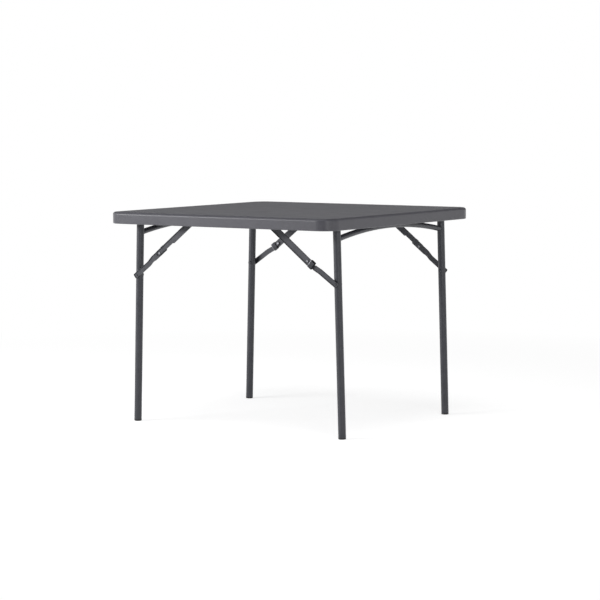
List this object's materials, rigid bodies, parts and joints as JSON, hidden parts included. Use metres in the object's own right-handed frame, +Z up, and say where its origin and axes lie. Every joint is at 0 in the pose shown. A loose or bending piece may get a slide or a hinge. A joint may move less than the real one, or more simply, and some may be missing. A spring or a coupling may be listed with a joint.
{
  "type": "folding card table",
  "caption": "Square moulded plastic top with a deep rim on folding tube leg frames, held open by knee-jointed braces that sliding rings lock",
  "frame": {"origin": "on the floor under the centre of the square top, table open", "axes": "+Z up; +X from the left leg frame to the right one, square to the fold axes; +Y along the fold axes"},
  "size_m": [0.93, 0.93, 0.743],
  "materials": {
    "moulded_top": "fine pebbled grey blow-moulded polyethylene",
    "cap_plastic": "smooth dark moulded plastic",
    "painted_tube": "grey powder coat, satin",
    "painted_link": "grey powder coat, satin",
    "painted_bracket": "grey powder coat, satin",
    "zinc_ring": "zinc plated",
    "zinc_fastener": "zinc plated"
  },
  "bodies": {
    "top": {"table_top": "moulded_top", "bracket_screws": "zinc_fastener", "leg_bracket_right_near": "painted_bracket", "hanger_bracket_right_near": "painted_bracket", "leg_pivot_pin_right_near": "zinc_fastener", "hanger_pin_right_near": "zinc_fastener", "leg_bracket_right_far": "painted_bracket", "hanger_bracket_right_far": "painted_bracket", "leg_pivot_pin_right_far": "zinc_fastener", "hanger_pin_right_far": "zinc_fastener", "leg_bracket_left_far": "painted_bracket", "hanger_bracket_left_far": "painted_bracket", "leg_pivot_pin_left_far": "zinc_fastener", "hanger_pin_left_far": "zinc_fastener", "leg_bracket_left_near": "painted_bracket", "hanger_bracket_left_near": "painted_bracket", "leg_pivot_pin_left_near": "zinc_fastener", "hanger_pin_left_near": "zinc_fastener"},
    "right_leg_frame": {"cross_tube_right": "painted_tube", "leg_tube_right_near": "painted_tube", "foot_cap_right_near": "cap_plastic", "leg_plug_right_near": "cap_plastic", "brace_bolt_right_near": "painted_tube", "leg_tube_right_far": "painted_tube", "foot_cap_right_far": "cap_plastic", "leg_plug_right_far": "cap_plastic", "brace_bolt_right_far": "painted_tube"},
    "upper_brace_right_near": {"upper_link_right_near": "painted_link", "knee_rivet_right_near": "zinc_fastener"},
    "lower_brace_right_near": {"lower_link_right_near": "painted_link", "link_rivet_right_near": "painted_link"},
    "lock_ring_body_right_near": {"lock_ring_right_near": "zinc_ring"},
    "upper_brace_right_far": {"upper_link_right_far": "painted_link", "knee_rivet_right_far": "zinc_fastener"},
    "lower_brace_right_far": {"lower_link_right_far": "painted_link", "link_rivet_right_far": "painted_link"},
    "left_leg_frame": {"cross_tube_left": "painted_tube", "leg_tube_left_far": "painted_tube", "foot_cap_left_far": "cap_plastic", "leg_plug_left_far": "cap_plastic", "brace_bolt_left_far": "painted_tube", "leg_tube_left_near": "painted_tube", "foot_cap_left_near": "cap_plastic", "leg_plug_left_near": "cap_plastic", "brace_bolt_left_near": "painted_tube"},
    "upper_brace_left_far": {"upper_link_left_far": "painted_link", "knee_rivet_left_far": "zinc_fastener"},
    "lower_brace_left_far": {"lower_link_left_far": "painted_link", "link_rivet_left_far": "painted_link"},
    "lock_ring_body_left_far": {"lock_ring_left_far": "zinc_ring"},
    "upper_brace_left_near": {"upper_link_left_near": "painted_link", "knee_rivet_left_near": "zinc_fastener"},
    "lower_brace_left_near": {"lower_link_left_near": "painted_link", "link_rivet_left_near": "painted_link"}
  },
  "joints": [
    {"name": "right_legs_fold", "type": "hinge", "parent": "top", "child": "right_leg_frame", "pos_m": [0.3975, 0, 0.712], "axis": [0, 1, 0], "range_deg": [0, 91.67]},
    {"name": "hanger_right_near", "type": "hinge", "parent": "top", "child": "upper_brace_right_near", "pos_m": [0.1435, -0.3202, 0.712], "axis": [0, 1, 0], "range_deg": [-38.11, 0]},
    {"name": "knee_right_near", "type": "hinge", "parent": "upper_brace_right_near", "child": "lower_brace_right_near", "pos_m": [0.29473, -0.3202, 0.59342], "axis": [0, 1, 0], "range_deg": [0, 183.46]},
    {"name": "ring_slide_right_near", "type": "slide", "parent": "upper_brace_right_near", "child": "lock_ring_body_right_near", "axis": [-0.7869, 0, 0.6171], "range_m": [0, 0.17608]},
    {"name": "hanger_right_far", "type": "hinge", "parent": "top", "child": "upper_brace_right_far", "pos_m": [0.1565, 0.3602, 0.712], "axis": [0, 1, 0], "range_deg": [-38.35, 0]},
    {"name": "knee_right_far", "type": "hinge", "parent": "upper_brace_right_far", "child": "lower_brace_right_far", "pos_m": [0.29803, 0.3602, 0.60006], "axis": [0, 1, 0], "range_deg": [0, 180.53]},
    {"name": "left_legs_fold", "type": "hinge", "parent": "top", "child": "left_leg_frame", "pos_m": [-0.3975, 0, 0.712], "axis": [0, -1, 0], "range_deg": [0, 91.67]},
    {"name": "hanger_left_far", "type": "hinge", "parent": "top", "child": "upper_brace_left_far", "pos_m": [-0.1435, 0.3202, 0.712], "axis": [0, -1, 0], "range_deg": [-38.11, 0]},
    {"name": "knee_left_far", "type": "hinge", "parent": "upper_brace_left_far", "child": "lower_brace_left_far", "pos_m": [-0.29473, 0.3202, 0.59342], "axis": [0, -1, 0], "range_deg": [0, 183.46]},
    {"name": "ring_slide_left_far", "type": "slide", "parent": "upper_brace_left_far", "child": "lock_ring_body_left_far", "axis": [0.7869, 0, 0.6171], "range_m": [0, 0.17608]},
    {"name": "hanger_left_near", "type": "hinge", "parent": "top", "child": "upper_brace_left_near", "pos_m": [-0.1565, -0.3602, 0.712], "axis": [0, -1, 0], "range_deg": [-38.35, 0]},
    {"name": "knee_left_near", "type": "hinge", "parent": "upper_brace_left_near", "child": "lower_brace_left_near", "pos_m": [-0.29803, -0.3602, 0.60006], "axis": [0, -1, 0], "range_deg": [0, 180.53]}
  ],
  "couplings": [
    {"joint": "hanger_right_near", "follows": "right_legs_fold", "ratio": -0.41566},
    {"joint": "knee_right_near", "follows": "right_legs_fold", "ratio": 2.0013},
    {"joint": "ring_slide_right_near", "follows": "right_legs_fold", "m_per_rad": 0.11},
    {"joint": "hanger_right_far", "follows": "right_legs_fold", "ratio": -0.41829},
    {"joint": "knee_right_far", "follows": "right_legs_fold", "ratio": 1.9694},
    {"joint": "hanger_left_far", "follows": "left_legs_fold", "ratio": -0.41566},
    {"joint": "knee_left_far", "follows": "left_legs_fold", "ratio": 2.0013},
    {"joint": "ring_slide_left_far", "follows": "left_legs_fold", "m_per_rad": 0.11},
    {"joint": "hanger_left_near", "follows": "left_legs_fold", "ratio": -0.41829},
    {"joint": "knee_left_near", "follows": "left_legs_fold", "ratio": 1.9694}
  ]
}
